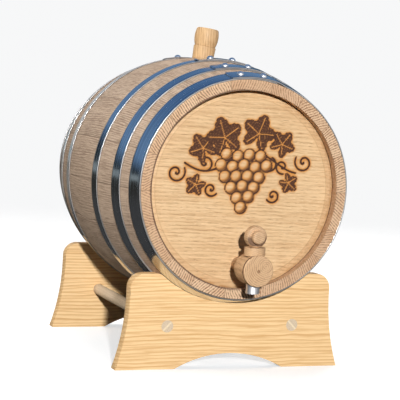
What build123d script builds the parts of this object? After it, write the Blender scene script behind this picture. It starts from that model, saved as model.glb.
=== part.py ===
from build123d import *
import math
import os

# A small oak barrel lying on a two-board cradle, with a turned wooden tap in its front head
# and a wooden bung in its top. Millimetres, +Z up, the barrel's axis along Y and its front
# head towards -Y. The origin is on the floor, under the middle of the whole object's box.

# Barrel, driving dimensions
barrel_length = 242.0
chime_radius = 88.0
bilge_radius = 104.0
stave_thickness = 10.0
chime_bevel = 2.0
# Relative widths of the staves, going round from the bung stave
stave_shares = (24, 19, 21, 18, 20, 22, 17, 20, 19, 21, 20, 18, 22, 19, 20, 21, 18, 20)

# Heads: panels of three boards whose thinned edge sits in a groove, the croze
head_recess = 9.0
head_thickness = 9.0
head_edge_thickness = 4.2
head_bevel_width = 7.0
middle_board_width = 54.0
croze_depth = 3.0
croze_side_gap = 0.1
croze_end_gap = 0.15
head_neck_gap = 0.3

# Hoops: distances from the nearer end of the barrel to each band's two edges
hoop_thickness = 1.0
hoop_gap = 0.05
head_hoop_start = 1.0
head_hoop_width = 16.0
quarter_hoop_start = 32.0
quarter_hoop_width = 13.5
bilge_hoop_start = 74.5
bilge_hoop_width = 11.0
lap_angle = 25.0
head_lap_middle = 2.0
quarter_lap_middle = 0.8
bilge_lap_middle = 2.0

# Rivets through the lap of each hoop
rivet_head_radius = 3.1
rivet_head_height = 2.3
rivet_shank_radius = 1.6
rivet_hole_gap = 0.02
rivet_spacing = 20.0

# Bung, from the stave's outer surface upwards. Its hole was bored a little off the middle
# and leaning towards +X
bung_offset = 2.2
bung_lean = 8.0
bung_hole_radius = 9.2
bung_taper = 0.05
bung_step_height = 10.0
bung_step_slope = 0.6
bung_height = 26.0
bung_neck_radius = 8.9
bung_crown_radius = 10.4
bung_top_radius = 9.5
bung_top_chamfer = 0.8
bung_inner_reach = 2.0
bung_gap = 0.05
bung_hole_reach = 6.0

# Tap, driven through the front head below the barrel's axis
tap_drop = 60.6
tap_reach = 34.5
tap_body_radius = 12.5
tap_body_length = 23.0
tap_shoulder_length = 2.5
tap_shoulder_bulge = 0.35
tap_shank_radius = 7.0
tap_taper = 0.05
tap_inner_reach = 15.0
tap_bore_radius = 2.5
tap_gap = 0.05
tap_groove_setback = 2.2
tap_groove_width = 0.9
tap_edge_round = 0.9
centre_mark_radius = 1.1
centre_mark_depth = 0.6

# Key: a hollow steel core with a wooden crossbar, turning in a cork liner
key_setback = 10.5
key_core_radius = 5.4
key_core_wall = 0.9
key_gap = 0.05
glue_gap = 0.02
liner_wall = 1.9
port_radius = 2.2
spout_length = 6.3
key_seat_depth = 1.3
key_seat_gap = 0.6
key_lift = 0.1
collar_radius = 8.3
collar_height = 6.6
core_engagement = 4.5
key_tenon_length = 9.0
crossbar_bead_radius = 8.7
crossbar_bead_width = 8.0
crossbar_tip_radius = 5.3
crossbar_length = 19.0
crossbar_edge_round = 2.0
crossbar_sink = 0.4

# Cradle: two shaped boards joined by two wedged stretchers. The seat height is that of the
# scoop's lowest point above the floor
seat_height = 54.215
board_setback = 18.0
board_thickness = 11.0
board_height = 77.6
board_foot_half_width = 97.0
board_side_half_width = 87.0
board_flare_height = 60.0
board_corner_radius = 12.0
board_shoulder_radius = 7.0
board_arch_half_width = 47.0
board_arch_height = 12.3
scoop_land_gap = 0.9
scoop_gap = 0.3
stretcher_radius = 5.0
stretcher_half_spacing = 54.6
stretcher_height = 35.0
wedge_thickness = 1.4
wedge_depth = 9.0
wedge_turn = 45.0

# Worked out from the values above
half_length = barrel_length / 2
bilge_rise = bilge_radius - chime_radius
bend_radius = (half_length**2 + bilge_rise**2) / (2 * bilge_rise)
bend_centre = bilge_radius - bend_radius
barrel_mid_y = tap_reach / 2
board_near_y = half_length - board_setback - board_thickness


def surface_radius(along, offset=0.0):
    """Radius of the stave surface, or one offset from it, at a distance from mid-barrel."""
    return bend_centre + math.sqrt((bend_radius + offset) ** 2 - along**2)


scoop_land_radius = surface_radius(half_length - board_setback, scoop_land_gap)
axis_height = seat_height + scoop_land_radius
tap_axis_height = axis_height - tap_drop


def band_face(start, end, inner, outer):
    """Section of a layer that follows the bilge between two offsets from its surface."""
    mid = (start + end) / 2
    corners = [(a, surface_radius(a, o)) for o in (inner, outer) for a in (start, end)]
    low = ThreePointArc(corners[0], (mid, surface_radius(mid, inner)), corners[1])
    high = ThreePointArc(corners[2], (mid, surface_radius(mid, outer)), corners[3])
    ends = [Line(corners[0], corners[2]), Line(corners[1], corners[3])]
    return make_face([low, high] + ends)


def turned(section, angle=360.0, start=0.0):
    """Turn a section about Y. Angles run from the top of the barrel towards +X."""
    solid = revolve(Plane.YZ * section, Axis.Y, revolution_arc=angle)
    return Rot(0, start, 0) * solid


def on_barrel(shape):
    """Move a shape from the barrel's own centre to its place on the cradle."""
    return Pos(0, barrel_mid_y, axis_height) * shape


def mirrored_ends(shape):
    """The front shape and its copy at the other end of the barrel."""
    return {"front": shape, "rear": mirror(shape, Plane.XZ)}


def save(name, shape):
    solids = shape.solids()
    export_step(solids[0] if len(solids) == 1 else Compound(children=solids), f"parts/{name}.step")


# Staves
head_centre = -half_length + head_recess + head_thickness / 2
head_wall_radius = surface_radius(head_centre, -stave_thickness)


def croze_cut(side):
    """Groove for the head's edge, seen in the stave's section."""
    width = head_edge_thickness + 2 * croze_side_gap
    depth = 2 * croze_depth
    return Pos(side * head_centre, head_wall_radius) * Rectangle(width, depth)


def chime_cut(side):
    """Slope on the inner corner of the stave's end, running in as far as the head."""
    mouth = surface_radius(-half_length, -stave_thickness)
    root = surface_radius(head_recess - half_length, -stave_thickness)
    over = 1.0
    end = half_length + over
    deep = half_length - head_recess
    slope = (mouth + chime_bevel - root) / head_recess
    below = root - stave_thickness
    points = [(end, mouth + chime_bevel + slope * over), (deep, root), (deep, below), (end, below)]
    return make_face(Polyline(*[(side * a, r) for a, r in points], close=True))


def stave_section():
    section = band_face(-half_length, half_length, -stave_thickness, 0)
    for side in (-1, 1):
        section -= croze_cut(side)
        section -= chime_cut(side)
    return section


def on_bung(shape):
    """Move a shape that stands on Z = 0 to the bung's place, off the middle and leaning."""
    middle = Pos(bung_offset, 0, math.sqrt(bilge_radius**2 - bung_offset**2))
    return middle * Rot(0, bung_lean, 0) * shape


def bung_side(height, grow):
    """Radius of the tapered part of the bung at a height above the stave's surface."""
    return bung_hole_radius + bung_taper * height + grow


def build_staves():
    section = stave_section()
    degrees = 360.0 / sum(stave_shares)
    start = -stave_shares[0] * degrees / 2
    for number, share in enumerate(stave_shares, 1):
        stave = turned(section, share * degrees, start)
        start += share * degrees
        if number == 1:
            low = -stave_thickness - bung_hole_reach
            high = bung_hole_reach
            hole = Solid.make_cone(
                bung_side(low, 0), bung_side(high, 0), high - low, Plane((0, 0, low))
            )
            stave -= on_bung(hole)
        save(f"stave_{number:02d}", on_barrel(stave))


# Heads
def head_section():
    """Half section of a head, from its middle to its bevelled edge, in the barrel's frame."""
    front = head_centre - head_thickness / 2
    back = head_centre + head_thickness / 2
    lip_front = head_centre - head_edge_thickness / 2
    lip_back = head_centre + head_edge_thickness / 2
    flat = head_wall_radius - head_bevel_width
    rim = head_wall_radius + croze_depth - croze_end_gap
    neck = surface_radius(lip_front - croze_side_gap, -stave_thickness) - head_neck_gap
    points = [(front, 0), (front, flat), (lip_front, neck), (lip_front, rim)]
    points += [(lip_back, rim), (lip_back, neck), (back, flat), (back, 0)]
    return make_face(Polyline(*points, close=True))


def tap_shank_radius_at(depth, grow):
    """Radius of the tap's tapered shank at a depth behind its shoulder."""
    return tap_shank_radius - tap_taper * depth + grow


def tap_hole():
    """Tapered hole through the front head, in the barrel's frame."""
    front = head_centre - head_thickness
    depth = front + half_length + tap_reach - tap_body_length
    length = 2 * head_thickness
    cone = Solid.make_cone(
        tap_shank_radius_at(depth, tap_gap),
        tap_shank_radius_at(depth + length, tap_gap),
        length,
        Plane((0, front, -tap_drop), x_dir=(1, 0, 0), z_dir=(0, 1, 0)),
    )
    return cone


def build_heads():
    panels = mirrored_ends(turned(head_section()))
    panels["front"] -= tap_hole()
    reach = 2 * bilge_radius
    rows = {"top": 1, "middle": 0, "bottom": -1}
    for end, panel in panels.items():
        for row, step in rows.items():
            height = middle_board_width if step == 0 else reach
            shift = step * (middle_board_width + reach) / 2
            board = panel & Pos(0, 0, shift) * Box(reach, 2 * reach, height)
            save(f"{end}_head_{row}_board", on_barrel(board))


# Hoops and their rivets
def rivet_plane(along, angle, offset):
    """Plane on an offset of the stave surface, its Z axis pointing straight out."""
    radius = surface_radius(along, offset)
    out = Vector(0, along, radius - bend_centre).normalized()
    flat = Plane(origin=(0, along, radius), x_dir=(1, 0, 0), z_dir=out)
    return Rot(0, angle, 0) * Location(flat)


def rivet():
    """A domed rivet standing on Z = 0, its shank reaching down through the lap."""
    shank = 2 * hoop_thickness
    sphere = (rivet_head_radius**2 + rivet_head_height**2) / (2 * rivet_head_height)
    half_angle = math.asin(rivet_head_radius / sphere) / 2
    dome = ThreePointArc(
        (rivet_head_radius, 0),
        (sphere * math.sin(half_angle), rivet_head_height - sphere * (1 - math.cos(half_angle))),
        (0, rivet_head_height),
    )
    sides = Polyline(
        (0, rivet_head_height), (0, -shank), (rivet_shank_radius, -shank),
        (rivet_shank_radius, 0), (rivet_head_radius, 0),
    )
    return revolve(Plane.XZ * make_face([dome] + sides.edges()), Axis.Z)


def build_hoop(name, start, width, lap_middle):
    """One pair of hoops, front and rear, and the rivets through their laps."""
    first = start - half_length
    ring_top = hoop_gap + hoop_thickness
    lap_top = ring_top + hoop_thickness
    ring = turned(band_face(first, first + width, hoop_gap, ring_top))
    lap = turned(band_face(first, first + width, hoop_gap, lap_top), lap_angle, lap_middle - lap_angle / 2)
    hoop = ring + lap
    rivets = []
    middle = first + width / 2
    spacing_angle = math.degrees(rivet_spacing / surface_radius(middle, lap_top))
    for side in (-0.5, 0.5):
        place = rivet_plane(middle, lap_middle + side * spacing_angle, lap_top)
        rivets.append(place * rivet())
        hoop -= place * Cylinder(rivet_shank_radius + rivet_hole_gap, 6 * hoop_thickness)
    for end, band in mirrored_ends(hoop).items():
        save(f"{end}_{name}_hoop", on_barrel(band))
    for end, group in mirrored_ends(Compound(children=rivets)).items():
        save(f"{end}_{name}_hoop_rivets", on_barrel(group))


def build_hoops():
    build_hoop("head", head_hoop_start, head_hoop_width, head_lap_middle)
    build_hoop("quarter", quarter_hoop_start, quarter_hoop_width, quarter_lap_middle)
    build_hoop("bilge", bilge_hoop_start, bilge_hoop_width, bilge_lap_middle)


# Bung
def build_bung():
    """Turned plug: a taper in the hole, a neck, and a swelling grip with a chamfered top."""
    foot = -stave_thickness - bung_inner_reach
    swell = (bung_step_height + bung_height) / 2
    edge = bung_height - bung_top_chamfer
    neck = bung_step_height + bung_step_slope
    low = Polyline(
        (0, foot), (bung_side(foot, -bung_gap), foot),
        (bung_side(bung_step_height, -bung_gap), bung_step_height),
        (bung_neck_radius, neck),
    )
    grip = ThreePointArc((bung_neck_radius, neck), (bung_crown_radius, swell),
                         (bung_top_radius, edge))
    top = Polyline((bung_top_radius, edge), (bung_top_radius - bung_top_chamfer, bung_height),
                   (0, bung_height), (0, foot))
    section = make_face(low.edges() + [grip] + top.edges())
    bung = revolve(Plane.XZ * section, Axis.Z)
    save("bung", on_barrel(on_bung(bung)))


# Tap. Its own frame has the shank along +Y, the front face at Y = 0 and the key on Z.
def on_tap(shape):
    return Pos(0, barrel_mid_y - half_length - tap_reach, tap_axis_height) * shape


def tap_blank():
    """The turned outside of the tap: body, burnt groove, rounded shoulder and shank."""
    tail = tap_reach + head_recess + head_thickness + tap_inner_reach
    shoulder = tap_body_length - tap_shoulder_length
    groove = tap_groove_setback
    half_groove = tap_groove_width / 2
    arc_mid = tap_edge_round * (1 - math.sqrt(0.5))
    front = ThreePointArc(
        (0, tap_body_radius - tap_edge_round),
        (arc_mid, tap_body_radius - arc_mid),
        (tap_edge_round, tap_body_radius),
    )
    side = Polyline(
        (tap_edge_round, tap_body_radius), (groove - half_groove, tap_body_radius),
        (groove, tap_body_radius - half_groove), (groove + half_groove, tap_body_radius),
        (shoulder, tap_body_radius),
    )
    shoulder_drop = tap_body_radius - tap_shank_radius
    rear = ThreePointArc(
        (shoulder, tap_body_radius),
        (tap_body_length - tap_shoulder_length * tap_shoulder_bulge,
         tap_body_radius - shoulder_drop * tap_shoulder_bulge),
        (tap_body_length, tap_shank_radius),
    )
    tail_radius = tap_shank_radius_at(tail - tap_body_length, 0)
    shank = Polyline((tap_body_length, tap_shank_radius), (tail, tail_radius), (tail, 0),
                     (0, 0), (0, tap_body_radius - tap_edge_round))
    section = make_face([front, rear] + side.edges() + shank.edges())
    return revolve(Plane.YZ * section, Axis.Y)


def build_tap():
    blank = tap_blank()
    tail = tap_reach + head_recess + head_thickness + tap_inner_reach
    liner_radius = key_core_radius + key_gap + liner_wall
    key_place = Pos(0, key_setback, 0)
    tall = 4 * tap_body_radius
    waterway = Pos(0, key_setback + (tail - key_setback) / 2, 0) * Rot(90, 0, 0) * Cylinder(
        tap_bore_radius, tail - key_setback + 0.01
    )
    key_hole = key_place * Cylinder(liner_radius, tall)
    seat_floor = tap_body_radius - key_seat_depth
    seat = key_place * Pos(0, 0, seat_floor + tall / 2) * Cylinder(collar_radius + key_seat_gap, tall)
    mark = Plane((0, 0, 0), x_dir=(1, 0, 0), z_dir=(0, 1, 0)) * Pos(0, 0, centre_mark_depth / 2)
    centre_mark = mark * Cylinder(centre_mark_radius, centre_mark_depth)
    save("tap_body", on_tap(blank - key_hole - waterway - seat - centre_mark))

    sleeve = key_place * Cylinder(liner_radius - glue_gap, tall)
    sleeve -= key_place * Cylinder(key_core_radius + key_gap, tall)
    liner = (sleeve & blank) - waterway - seat
    save("tap_cork_liner", on_tap(liner))


def build_key():
    """The hollow core that carries the wine down to the spout, and its turned handle."""
    key_place = Pos(0, key_setback, 0)
    seat_floor = tap_body_radius - key_seat_depth
    collar_base = seat_floor + key_lift
    core_top = collar_base + core_engagement
    core_foot = -tap_body_radius - spout_length
    core_bore = key_core_radius - key_core_wall
    core = Pos(0, 0, (core_top + core_foot) / 2) * Cylinder(key_core_radius, core_top - core_foot)
    core -= Cylinder(core_bore, 4 * tap_body_radius)
    port = Pos(key_core_radius, 0, 0) * Rot(0, 90, 0) * Cylinder(port_radius, 2 * key_core_radius)
    save("tap_key_core", on_tap(key_place * (core - port)))

    collar_top = collar_base + collar_height
    collar = Pos(0, 0, collar_base + collar_height / 2) * Cylinder(collar_radius, collar_height)
    socket_top = core_top + glue_gap
    collar -= Pos(0, 0, socket_top - collar_height) * Cylinder(
        key_core_radius + glue_gap, 2 * collar_height
    )
    tenon_foot = core_top - key_tenon_length
    tenon_height = collar_top - tenon_foot
    tenon = Pos(0, 0, tenon_foot + tenon_height / 2) * Cylinder(core_bore - glue_gap, tenon_height)
    bar_height = collar_top + crossbar_bead_radius - crossbar_sink
    bar = Pos(0, 0, bar_height) * crossbar()
    save("tap_key_handle", on_tap(key_place * (collar + tenon + bar)))


def crossbar():
    """Turned crossbar along Y: a round bead between two shorter round tips."""
    half_bead = crossbar_bead_width / 2
    half_bar = crossbar_length / 2
    bead = Rot(90, 0, 0) * Cylinder(crossbar_bead_radius, crossbar_bead_width)
    bead = fillet(bead.edges().filter_by(GeomType.CIRCLE), crossbar_edge_round)
    tips = Rot(90, 0, 0) * Cylinder(crossbar_tip_radius, crossbar_length)
    tips = fillet(tips.edges().filter_by(GeomType.CIRCLE), crossbar_edge_round)
    return bead + tips


# Cradle
def scoop_tool():
    """What a cradle board is shaved to: the barrel's outside, a small gap larger."""
    return on_barrel(turned(band_face_to_axis(scoop_gap)))


def band_face_to_axis(offset):
    """Half section of the whole barrel out to an offset of its surface."""
    near = (-half_length, surface_radius(-half_length, offset))
    far = (half_length, surface_radius(half_length, offset))
    high = ThreePointArc(near, (0, surface_radius(0, offset)), far)
    rest = Polyline(far, (half_length, 0), (-half_length, 0), near)
    return make_face([high] + rest.edges())


def board_outline():
    """Front view of a board, before its scoop is shaved to the barrel's slope."""
    flare_top = (board_side_half_width, board_flare_height)
    foot = (board_foot_half_width, 0)
    arch = (board_arch_half_width, 0)
    flare = TangentArc(flare_top, foot, tangent=(0, -1))
    left_flare = TangentArc((-flare_top[0], flare_top[1]), (-foot[0], 0), tangent=(0, -1))
    top = Polyline(flare_top, (board_side_half_width, board_height),
                   (-board_side_half_width, board_height), (-board_side_half_width, board_flare_height))
    feet = [Line(foot, arch), Line((-foot[0], 0), (-arch[0], 0))]
    arch_arc = ThreePointArc(arch, (0, board_arch_height), (-arch[0], 0))
    outline = make_face([flare, left_flare, arch_arc] + top.edges() + feet)
    corners = outline.vertices().group_by(Axis.Y)[-1]
    outline = fillet(corners, board_corner_radius)
    outline -= Pos(0, axis_height) * Circle(scoop_land_radius)
    shoulders = outline.vertices().group_by(Axis.Y)[-1].sort_by(Axis.X)[1:-1]
    return fillet(shoulders, board_shoulder_radius)


def stretcher_holes():
    holes = [
        Pos(side * stretcher_half_spacing, 0, stretcher_height)
        * Rot(90, 0, 0)
        * Cylinder(stretcher_radius + glue_gap, 2 * barrel_length)
        for side in (-1, 1)
    ]
    return holes[0] + holes[1]


def build_cradle():
    outline = Plane.XZ * board_outline()
    board = extrude(outline, board_thickness, dir=(0, -1, 0))
    front = Pos(0, barrel_mid_y - board_near_y, 0) * board
    rear = Pos(0, barrel_mid_y + board_near_y + board_thickness, 0) * board
    for name, blank in {"cradle_front_board": front, "cradle_rear_board": rear}.items():
        save(name, blank - scoop_tool() - stretcher_holes())


def build_stretchers():
    """Two dowels through both boards, each end slit and spread by a glued wedge."""
    length = 2 * (board_near_y + board_thickness)
    dowel = Rot(90, 0, 0) * Cylinder(stretcher_radius, length)
    wedges = []
    for side, name in ((-1, "left"), (1, "right")):
        slits = []
        for end in (-1, 1):
            slit = Box(wedge_thickness, wedge_depth, 4 * stretcher_radius)
            slit = Rot(0, side * end * wedge_turn, 0) * slit
            slits.append(Pos(0, end * (length - wedge_depth) / 2, 0) * slit)
        place = Pos(side * stretcher_half_spacing, barrel_mid_y, stretcher_height)
        save(f"{name}_stretcher", place * (dowel - slits[0] - slits[1]))
        wedges += [place * (dowel & slit) for slit in slits]
    save("stretcher_wedges", Compound(children=wedges))


os.makedirs("parts", exist_ok=True)
build_staves()
build_heads()
build_hoops()
build_bung()
build_tap()
build_key()
build_cradle()
build_stretchers()
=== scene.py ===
import math

import bpy
import numpy as np
from mathutils import Matrix, Vector


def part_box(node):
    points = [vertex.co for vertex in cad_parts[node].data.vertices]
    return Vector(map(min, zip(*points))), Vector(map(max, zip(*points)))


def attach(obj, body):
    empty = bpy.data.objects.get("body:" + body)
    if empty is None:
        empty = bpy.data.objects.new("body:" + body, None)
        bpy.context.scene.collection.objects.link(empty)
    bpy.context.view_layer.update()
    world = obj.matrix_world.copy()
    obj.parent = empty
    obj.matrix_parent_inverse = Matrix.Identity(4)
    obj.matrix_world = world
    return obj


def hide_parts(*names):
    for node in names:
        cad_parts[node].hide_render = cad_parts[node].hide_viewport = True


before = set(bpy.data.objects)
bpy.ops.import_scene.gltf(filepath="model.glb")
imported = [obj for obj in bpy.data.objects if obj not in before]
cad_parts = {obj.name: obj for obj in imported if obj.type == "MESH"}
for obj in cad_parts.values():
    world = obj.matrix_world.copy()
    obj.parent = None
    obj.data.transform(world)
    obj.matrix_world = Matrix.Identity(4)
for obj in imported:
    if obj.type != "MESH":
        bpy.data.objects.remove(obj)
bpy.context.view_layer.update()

# ---------------------------------------------------------------- staves
# Eighteen bent oak staves of differing widths, jointed edge to edge with no glue and held by
# the hoops alone. Each is one strip of wood, hollowed inside, with a sloped chime and a sawn
# croze groove near both ends. The top one is bored for the bung.
stave_shares = (24, 19, 21, 18, 20, 22, 17, 20, 19, 21, 20, 18, 22, 19, 20, 21, 18, 20)
stave_thickness = 0.010
chime_radius = 0.088
chime_bevel = 0.002
head_recess = 0.009
croze_width = 0.0044
croze_depth = 0.003
joint_round = 0.00028
joint_round_width = 0.0009
end_round = 0.0004
end_round_width = 0.0006
joint_gap = 0.00002

middle_low, middle_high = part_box("front_head_middle_board")
top_low, top_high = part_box("stave_01")
axis_z = (middle_low.z + middle_high.z) / 2
mid_y = (top_low.y + top_high.y) / 2
half_length = (top_high.y - top_low.y) / 2
bilge_radius = top_high.z - axis_z
head_thickness = middle_high.y - middle_low.y
rise = bilge_radius - chime_radius
bend_radius = (half_length**2 + rise**2) / (2 * rise)
bend_centre = bilge_radius - bend_radius
croze_mid = half_length - head_recess - head_thickness / 2


def surface_radius(along, offset=0.0):
    """Radius of the bent surface: a circle of bend_radius about a line beyond the axis."""
    return bend_centre + np.sqrt((bend_radius + offset) ** 2 - np.square(along))


def inner_radius(along):
    """Inside of a stave: the outer arc less the thickness, cut out by the croze and sloped
    in a straight line from the croze side of the chime to its mouth."""
    depth = half_length - np.abs(along)
    inside = surface_radius(along, -stave_thickness)
    root = surface_radius(half_length - head_recess, -stave_thickness)
    mouth = surface_radius(half_length, -stave_thickness) + chime_bevel
    slope = mouth + (root - mouth) * np.clip(depth / head_recess, 0, 1)
    inside = np.where(depth < head_recess, slope, inside)
    in_croze = np.abs(np.abs(along) - croze_mid) < croze_width / 2
    groove = surface_radius(croze_mid, -stave_thickness) + croze_depth
    return np.where(in_croze, groove, inside)


def stave_rows():
    """Distances along the barrel: even steps, and pairs either side of every sharp step."""
    hair = 0.00001
    marks = [0.0, 0.0001, 0.0003, end_round_width, head_recess]
    for edge in (-0.5, 0.5):
        depth = half_length - croze_mid + edge * croze_width
        marks += [depth - hair, depth + hair]
    ends = half_length - np.array(marks)
    middle = np.linspace(-half_length + 0.02, half_length - 0.02, 45)
    return np.unique(np.concatenate([-ends, middle, ends]))


def loft(name, rings):
    """A closed skin over rings of points, shape (rows, points, 3): a face between each two
    neighbours in both directions, and a flat face over the first and the last ring."""
    rows, count = rings.shape[:2]
    across = np.arange(count)
    first = np.arange(rows - 1)[:, None] * count
    beside = (across + 1) % count
    faces = np.stack(
        [first + across, first + beside, first + count + beside, first + count + across], -1
    ).reshape(-1, 4)
    faces = faces.tolist()
    faces.append(list(range(count - 1, -1, -1)))
    faces.append(list(range((rows - 1) * count, rows * count)))
    mesh = bpy.data.meshes.new(name)
    mesh.from_pydata(rings.reshape(-1, 3), [], faces)
    piece = bpy.data.objects.new(name, mesh)
    bpy.context.scene.collection.objects.link(piece)
    return piece


def smooth(piece, angle):
    """Round shading, with edges sharper than the angle left crisp."""
    piece.data.shade_smooth()
    piece.data.set_sharp_from_angle(angle=math.radians(angle))
    return piece


def note(piece, name, values):
    """Writes one number or one vector per point, for the materials to read."""
    kind = "FLOAT_VECTOR" if values.ndim == 2 else "FLOAT"
    field = "vector" if values.ndim == 2 else "value"
    attribute = piece.data.attributes.new(name, kind, "POINT")
    attribute.data.foreach_set(field, values.astype(np.float32).ravel())


def build_stave(number, start, width):
    """A stave between two angles from the top of the barrel. Its section runs over the
    outer arc, whose last millimetre rounds down to the joint, and back along the inner arc."""
    along = stave_rows()[:, None]
    outer_share = np.concatenate([[0, 0.004, 0.012, 0.025], np.linspace(0.06, 0.94, 13),
                                  [0.975, 0.988, 0.996, 1]])
    inner_share = np.linspace(1, 0, 9)
    outside = surface_radius(along)
    to_joint = np.minimum(outer_share, 1 - outer_share) * width * bilge_radius
    drop = joint_round * np.square(np.clip(1 - to_joint / joint_round_width, 0, 1))
    to_end = half_length - np.abs(along)
    end_drop = end_round * np.square(np.clip(1 - to_end / end_round_width, 0, 1))
    shares = np.concatenate([outer_share, inner_share])
    radius = np.concatenate([
        outside - drop - end_drop,
        np.broadcast_to(inner_radius(along), (len(along), len(inner_share))),
    ], 1)
    gap = joint_gap / bilge_radius
    angle = start + gap + shares * (width - 2 * gap) + 0 * along
    rings = np.stack([
        radius * np.sin(angle), along + mid_y + 0 * angle, axis_z + radius * np.cos(angle)
    ], -1)
    piece = smooth(loft(f"oak_stave_{number:02d}", rings), 32)
    across = (angle - start - width / 2) * bilge_radius
    depth = outside - radius
    place = np.stack([across, along + 0 * angle, depth], -1).reshape(-1, 3)
    note(piece, "place", place)
    # Where the stave lay in its log: rings cross it at a slant that differs from one to the next
    slant = 0.62 * math.sin(2.4 * number)
    pith = 0.11 + 0.03 * math.cos(5.1 * number)
    out = pith + place[:, 0] * math.cos(slant) + place[:, 2] * math.sin(slant)
    aside = place[:, 2] * math.cos(slant) - place[:, 0] * math.sin(slant)
    log = np.stack([np.hypot(out, aside) + number * 0.37, place[:, 1] + number * 0.71, aside], -1)
    note(piece, "log", log)
    note(piece, "tone", np.full(len(place), 0.5 + 0.5 * math.sin(7.3 * number)))
    note(piece, "half_width", np.full(len(place), width * bilge_radius / 2))
    return piece


class Number:
    """A socket that reads as a number: arithmetic on it adds Math nodes."""

    def __init__(self, recipe, socket):
        self.recipe = recipe
        self.socket = socket

    def maths(self, operation, *values):
        return self.recipe.node("ShaderNodeMath", {"operation": operation}, dict(enumerate(values)))

    def __add__(self, other):
        return self.maths("ADD", self, other)

    def __sub__(self, other):
        return self.maths("SUBTRACT", self, other)

    def __rsub__(self, other):
        return self.maths("SUBTRACT", other, self)

    def __mul__(self, other):
        return self.maths("MULTIPLY", self, other)

    def __truediv__(self, other):
        return self.maths("DIVIDE", self, other)

    def __abs__(self):
        return self.maths("ABSOLUTE", self)

    __radd__ = __add__
    __rmul__ = __mul__

    def fraction(self):
        return self.maths("FRACT", self)

    def ramp(self, low, high):
        """0 up to low, 1 from high on, and a smooth rise between; low may be the larger."""
        settings = {"interpolation_type": "SMOOTHSTEP"}
        if low > high:
            return 1 - self.ramp(high, low)
        return self.recipe.node("ShaderNodeMapRange", settings, {0: self, 1: low, 2: high})


class Recipe:
    """One finish: the material, or the world's light, and the nodes that make it."""

    def __init__(self, name, kind=bpy.data.materials):
        self.material = kind.new(name)
        self.material.use_nodes = True
        self.tree = self.material.node_tree
        self.tree.nodes.clear()

    def node(self, kind, settings=None, inputs=None, output=0):
        """Adds a node: its settings first, then the values or links of its sockets."""
        made = self.tree.nodes.new(kind)
        for key, value in (settings or {}).items():
            setattr(made, key, value)
        for key, value in (inputs or {}).items():
            if isinstance(value, Number):
                self.tree.links.new(value.socket, made.inputs[key])
            else:
                made.inputs[key].default_value = value
        return Number(self, made.outputs[output]) if made.outputs else None

    def spot(self):
        """The place on the object, in metres."""
        return self.node("ShaderNodeTexCoord", None, None, 3)

    def noted(self, name):
        """A number written on the piece's points."""
        return self.node("ShaderNodeAttribute", {"attribute_name": name}, None, 2)

    def noted_place(self, name):
        """A vector written on the piece's points."""
        return self.node("ShaderNodeAttribute", {"attribute_name": name}, None, 1)

    def noise(self, where, detail=2.0, roughness=0.5):
        """Soft random patches, one to each unit of the place given."""
        sockets = {"Vector": where, "Scale": 1.0, "Detail": detail, "Roughness": roughness}
        return self.node("ShaderNodeTexNoise", {"noise_dimensions": "3D"}, sockets)

    def times(self, vector, factors):
        return self.node("ShaderNodeVectorMath", {"operation": "MULTIPLY"}, {0: vector, 1: factors})

    def parts(self, vector):
        return [self.node("ShaderNodeSeparateXYZ", None, {0: vector}, axis) for axis in range(3)]

    def join(self, x, y, z):
        return self.node("ShaderNodeCombineXYZ", None, {0: x, 1: y, 2: z})

    def length(self, vector):
        return self.node("ShaderNodeVectorMath", {"operation": "LENGTH"}, {0: vector}, 1)

    def blend(self, share, first, second):
        """A colour: the first where the share is 0, the second where it is 1."""
        sockets = {0: share, 6: first, 7: second}
        return self.node("ShaderNodeMix", {"data_type": "RGBA"}, sockets, 2)

    def surface(self, colour, roughness, height, depth, metallic=0.0, specular=0.5, coat=0.0):
        """The finished surface. Height is a number over the surface and depth its reach."""
        sockets = {"Base Color": colour, "Roughness": roughness, "Metallic": metallic,
                   "Specular IOR Level": specular, "Coat Weight": coat, "Coat Roughness": 0.25}
        bump = {"Height": height, "Strength": 1.0, "Distance": depth}
        sockets["Normal"] = self.node("ShaderNodeBump", None, bump)
        shader = self.node("ShaderNodeBsdfPrincipled", None, sockets)
        self.node("ShaderNodeOutputMaterial", None, {"Surface": shader})
        return self.material


def grain(recipe, log, ring_width, waver):
    """Wood figure from a place in the log (out from the pith, along the trunk, aside), in
    metres: year rings, open pores that crowd each ring's start, rays and slow cloudiness."""
    out, up, aside = recipe.parts(log)
    bend = recipe.noise(recipe.times(log, (55, 9, 55)), 3.0) - 0.5
    ripple = recipe.noise(recipe.times(log, (420, 60, 420)), 2.0) - 0.5
    rings = (out + bend * (0.0042 * waver) + ripple * (0.0006 * waver)) / ring_width
    phase = rings.fraction()
    line = phase.ramp(0.0, 0.16) * phase.ramp(0.75, 0.2)
    pore_noise = recipe.noise(recipe.times(log, (3300, 210, 3300)), 1.0)
    pores = pore_noise.ramp(0.56, 0.68) * (0.25 + 0.75 * line)
    rays = recipe.noise(recipe.times(log, (160, 330, 2600)), 2.0).ramp(0.58, 0.74)
    cloud = recipe.noise(recipe.times(log, (38, 5, 38)), 2.0)
    fibre = recipe.noise(recipe.times(log, (1500, 26, 1500)), 2.0)
    return {"line": line, "pores": pores, "rays": rays, "cloud": cloud, "fibre": fibre}


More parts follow.
